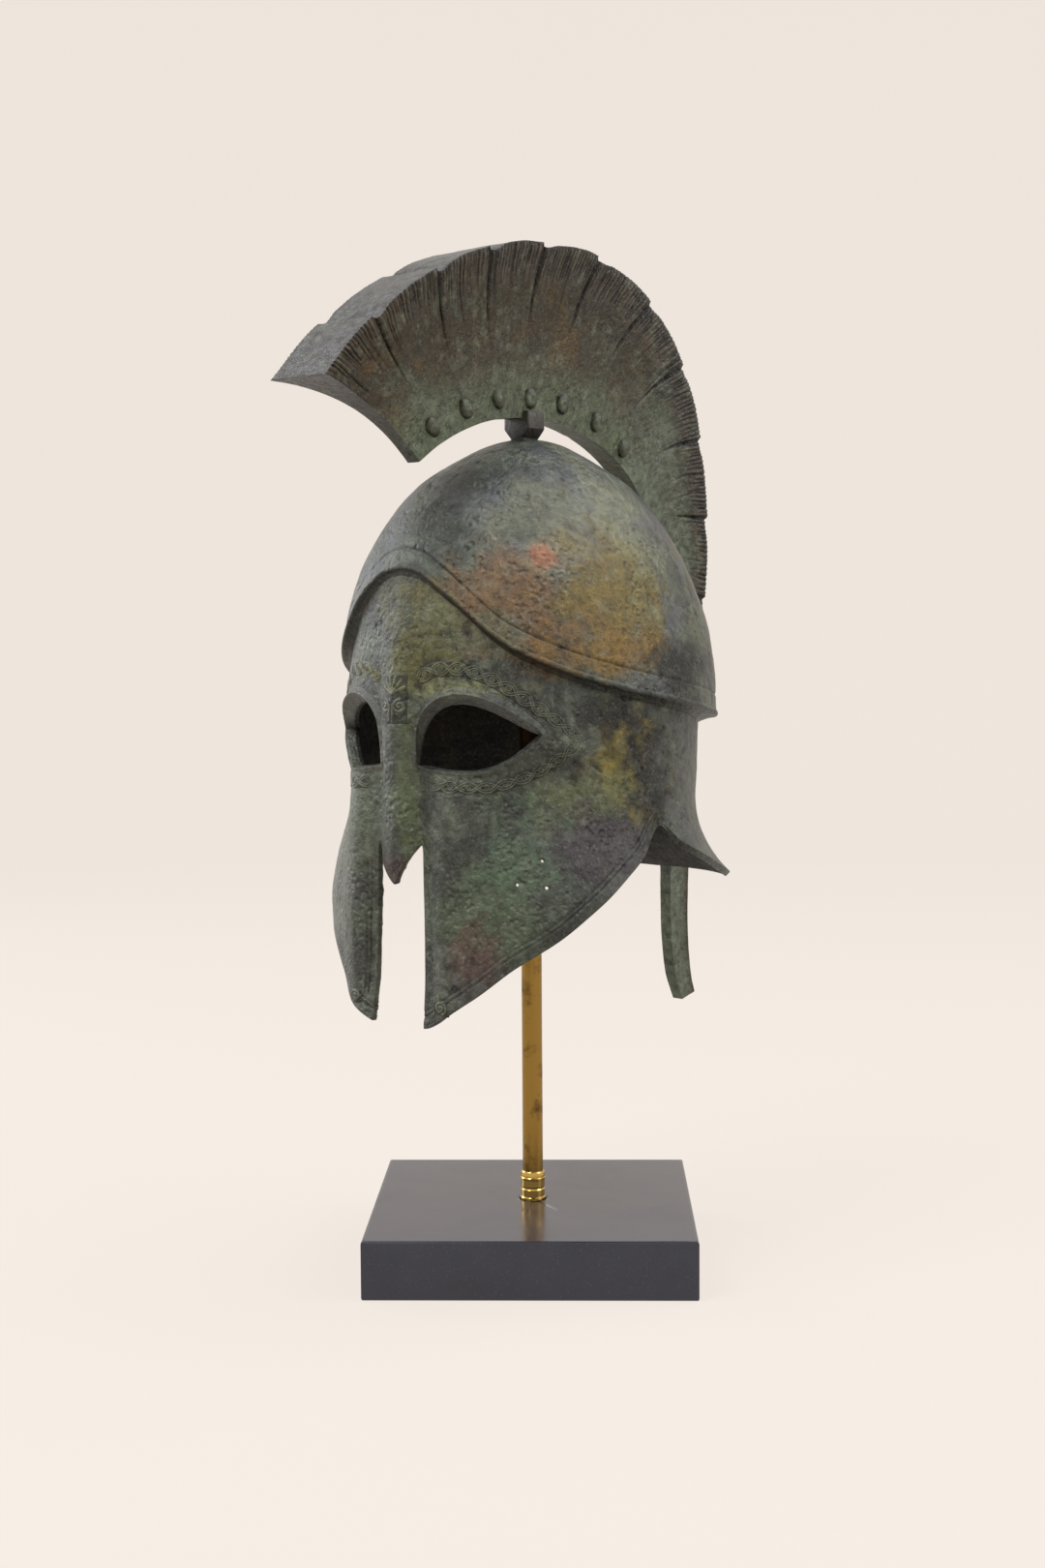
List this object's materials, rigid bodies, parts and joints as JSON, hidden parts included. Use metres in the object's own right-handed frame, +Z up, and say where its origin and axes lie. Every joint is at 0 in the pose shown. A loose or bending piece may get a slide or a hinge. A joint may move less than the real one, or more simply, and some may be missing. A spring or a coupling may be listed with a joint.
{
  "type": "crested bronze helmet on a display stand",
  "caption": "Ancient-style bronze helmet with almond eye holes, nose guard, cheek and neck guards and a tall swept crest, on a rod and square base.",
  "frame": {"origin": "centre of the base's underside, on the axis of the rod", "axes": "+Z up along the rod; the helmet looks along -Y and the wearer's left side is +X; the base is turned 40.5 degrees about +Z"},
  "size_m": [0.2368, 0.3004, 0.5305],
  "materials": {
    "bronze": "cast bronze, pitted, with green, ochre and brown patina",
    "bronze_crest": "cast bronze with combed hair lines, brown-olive with dark hair tips",
    "bronze_dark": "dark, satin",
    "brass": "aged, satin, with a brighter ferrule",
    "black_marble": "polished, faintly clouded"
  },
  "bodies": {
    "root": {"helmet_shell": "bronze", "crest": "bronze_crest", "crest_post": "bronze_dark", "rod": "brass", "ferrule": "brass", "base": "black_marble"}
  },
  "joints": []
}
